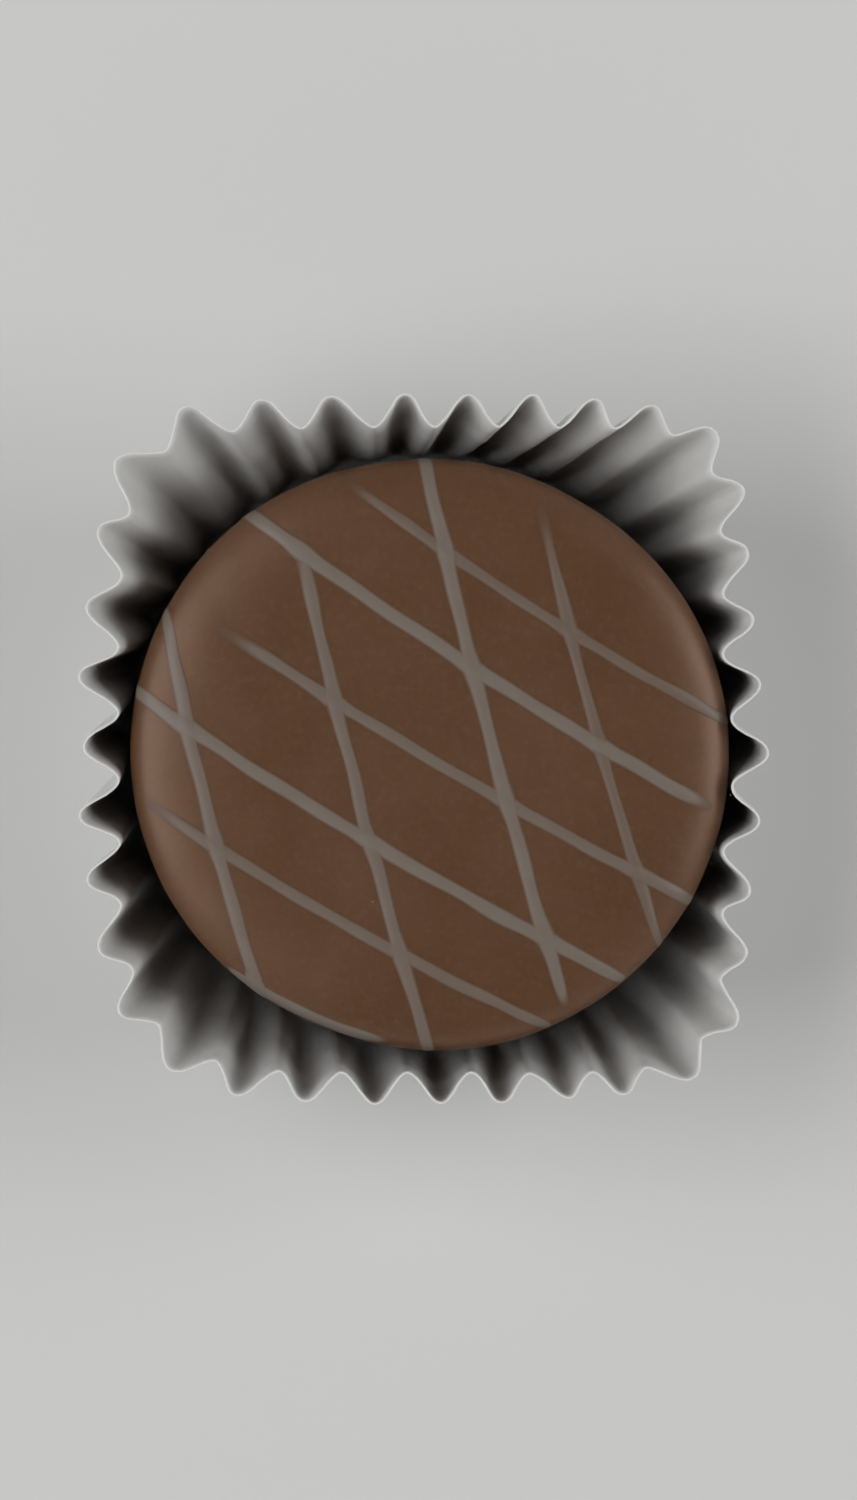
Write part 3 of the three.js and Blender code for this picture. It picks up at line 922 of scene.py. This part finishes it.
# %% [markdown]
# ## Floor, light and camera
#
# The piece is shown from above and a little from its upper left. A large soft light stands to the
# left and a smaller one to the right. A pale sky, brighter low down and at the front, fills the
# rest. It looks brighter to the camera than it shines, so that the far edge of the floor doesn't
# show.

# %% A pale floor
floor_reach = 4.0
floor_height = -0.02 * MM


def pale_floor():
    """A dull square just below the case, staged so that it isn't part of the object."""
    mesh = bpy.data.meshes.new("floor")
    signs = [(-1, -1), (1, -1), (1, 1), (-1, 1)]
    corners = [(x * floor_reach, y * floor_reach, floor_height) for x, y in signs]
    mesh.from_pydata(corners, [], [(0, 1, 2, 3)])
    floor = bpy.data.objects.new("floor", mesh)
    bpy.context.scene.collection.objects.link(floor)
    finish = new_finish("floor")
    mesh.materials.append(finish.close({"Base Color": (0.60, 0.60, 0.59, 1), "Roughness": 0.9}))
    floor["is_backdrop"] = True
    print("floor:", 2 * floor_reach, "m square")


pale_floor()

# %% Soft lights and a pale sky
def soft_light(name, azimuth, elevation, distance, width, height, radiance):
    """A panel of light that faces the chocolate from an azimuth and an elevation in degrees, as
    bright all over as its radiance says. Distance, width and height are in metres."""
    data = bpy.data.lights.new(name, "AREA")
    data.shape = "RECTANGLE"
    data.size, data.size_y = width, height
    data.energy = radiance * width * height * np.pi
    lamp = bpy.data.objects.new(name, data)
    level, rise = np.cos(elevation * DEGREE), np.sin(elevation * DEGREE)
    place = Vector((*(towards(azimuth * DEGREE) * level), rise)) * distance
    lamp.location = place
    lamp.rotation_mode = "QUATERNION"
    lamp.rotation_quaternion = place.to_track_quat("Z", "Y")
    lamp.visible_camera = False
    bpy.context.scene.collection.objects.link(lamp)
    print(name, "light:", round(data.energy, 2), "W")


def pale_sky(seen, low, high, more_in_front):
    """A sky with one grey for the camera. As light it is brighter low down than overhead, and
    brighter at the front than at the back."""
    world = bpy.data.worlds.new("sky")
    bpy.context.scene.world = world
    sky = Finish(world)
    way = sky.add("TexCoord", out="Generated")
    climb = sky.add("SeparateXYZ", None, {"Vector": way}, "Z")
    backwards = sky.add("SeparateXYZ", None, {"Vector": way}, "Y")
    shining = (sky.ramp(climb, 0.3, 0.85) * (high - low) + low) * (1 - more_in_front * backwards)
    by_camera = sky.add("LightPath", out="Is Camera Ray")
    strength = shining + by_camera * (seen - shining)
    background = sky.add("Background", None, {"Strength": strength}, "Background")
    ending = sky.tree.nodes.new("ShaderNodeOutputWorld")
    sky.tree.links.new(background.socket, ending.inputs["Surface"])


soft_light("key", 177, 48, 0.7, 0.6, 0.6, 3.1)
soft_light("fill", 8, 34, 0.7, 0.46, 0.46, 3.6)
pale_sky(0.8, 0.75, 0.12, more_in_front=0.3)
bpy.context.scene.view_settings.view_transform = "Standard"

# %% The camera above
camera_height = 800 * MM
photo_scale = 0.1171 * MM
photo_middle_pixel = np.array([428.5, 750.0])
chocolate_pixel = np.array([604.6, 910.0])
camera_aside = (photo_middle_pixel - chocolate_pixel) * [photo_scale, -photo_scale]
frame_height = 75 * MM


def camera_above():
    """A camera aimed at the middle of the chocolate's top, with +Y up in the picture."""
    data = bpy.data.cameras.new("camera")
    camera = bpy.data.objects.new("camera", data)
    bpy.context.scene.collection.objects.link(camera)
    bpy.context.scene.camera = camera
    aim = Vector((0, 0.2 * MM, resting_height + body_height))
    place = Vector((*camera_aside, aim.z + camera_height))
    back = (place - aim).normalized()
    right = Vector((0, 1, 0)).cross(back).normalized()
    turn = Matrix((right, back.cross(right), back)).transposed()
    camera.matrix_world = Matrix.Translation(place) @ turn.to_4x4()
    data.lens = data.sensor_width * (place - aim).length / frame_height
    data.clip_start = 0.01
    print("lens", round(data.lens), "mm")


camera_above()

# %% [markdown]
# ## Size
#
# Both boxes are printed in millimetres: the solids' and the dressed object's.

# %% Print the sizes
dressed_low, dressed_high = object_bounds()
sizes = {
    "solids": [list(solid_low), list(solid_high)],
    "dressed": [list(dressed_low), list(dressed_high)],
}
for name, (low, high) in sizes.items():
    print(name, "box in mm:", [round(x / MM, 2) for x in low], [round(x / MM, 2) for x in high])
